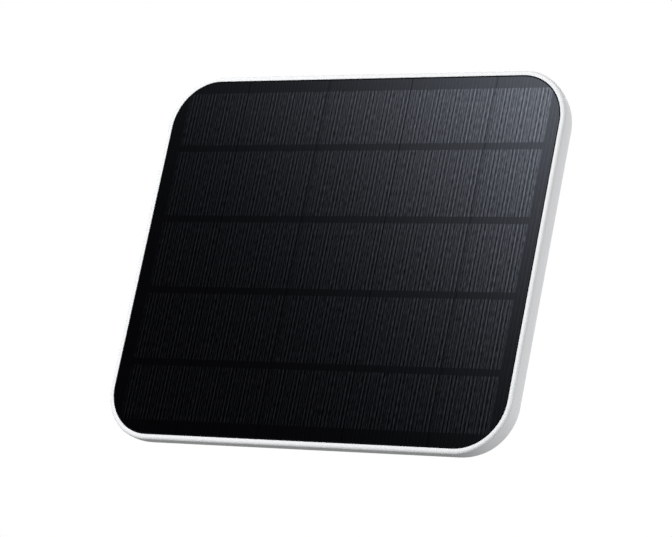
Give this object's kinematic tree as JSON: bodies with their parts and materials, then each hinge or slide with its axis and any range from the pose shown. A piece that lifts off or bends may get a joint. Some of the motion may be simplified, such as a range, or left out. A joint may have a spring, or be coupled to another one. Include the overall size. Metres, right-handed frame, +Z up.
{
  "type": "solar panel",
  "caption": "Small outdoor solar panel with a rounded glass face in a thin-rimmed moulded tray, a rear housing with a threaded mount, and a flap over its charging socket.",
  "frame": {"origin": "mouth of the threaded mounting insert, at the centre of the hub's face on the back", "axes": "+Z up, +X across the panel, the glass faces -Y and leans back 20 degrees"},
  "size_m": [0.177, 0.0596, 0.1415],
  "materials": {
    "white_shell": "fine satin moulded surface",
    "front_glass": "polished, clear",
    "black_sealant": "smooth",
    "clear_sheet": "clear, laminated",
    "silicon": "smooth, dark blue-black with fine lines",
    "copper": "tinned ribbon",
    "black_sheet": "matt",
    "foam_tape": "closed-cell foam",
    "grey_silicone": "matt soft-touch",
    "membrane": "matt",
    "brass": "turned and knurled",
    "steel": "zinc plated",
    "board_green": "solder mask",
    "black_part": "moulded",
    "ferrite": "matt",
    "aluminium": "drawn can",
    "cream_part": "moulded",
    "red_wire": "smooth",
    "black_wire": "smooth"
  },
  "bodies": {
    "panel": {"backsheet": "black_sheet", "blocking_diode": "black_part", "board_screws": "steel", "bonding_tape": "foam_tape", "casing_tray": "white_shell", "cell_ribbons": "copper", "cell_row_1": "silicon", "cell_row_2": "silicon", "cell_row_3": "silicon", "cell_row_4": "silicon", "cell_row_5": "silicon", "control_board": "board_green", "controller_chip": "black_part", "cover_glass": "front_glass", "filter_capacitors": "aluminium", "flap_anchor": "grey_silicone", "front_encapsulant": "clear_sheet", "housing_gasket": "grey_silicone", "housing_screws": "steel", "junction_tabs": "copper", "lead_header": "cream_part", "lead_plug": "cream_part", "negative_lead": "black_wire", "perimeter_seal": "black_sealant", "port_seal": "grey_silicone", "positive_lead": "red_wire", "power_inductor": "ferrite", "rear_encapsulant": "clear_sheet", "rear_housing": "white_shell", "screw_plugs": "grey_silicone", "socket_tongue": "black_part", "thread_insert": "brass", "usb_socket": "steel", "vent_membrane": "membrane"},
    "flap": {"port_flap": "grey_silicone"}
  },
  "joints": [
    {"name": "port_flap_hinge", "type": "hinge", "parent": "panel", "child": "flap", "pos_m": [-0.00955, -0.01825, -0.02821], "axis": [0, 0.9397, -0.342], "range_deg": [0, 100]}
  ]
}
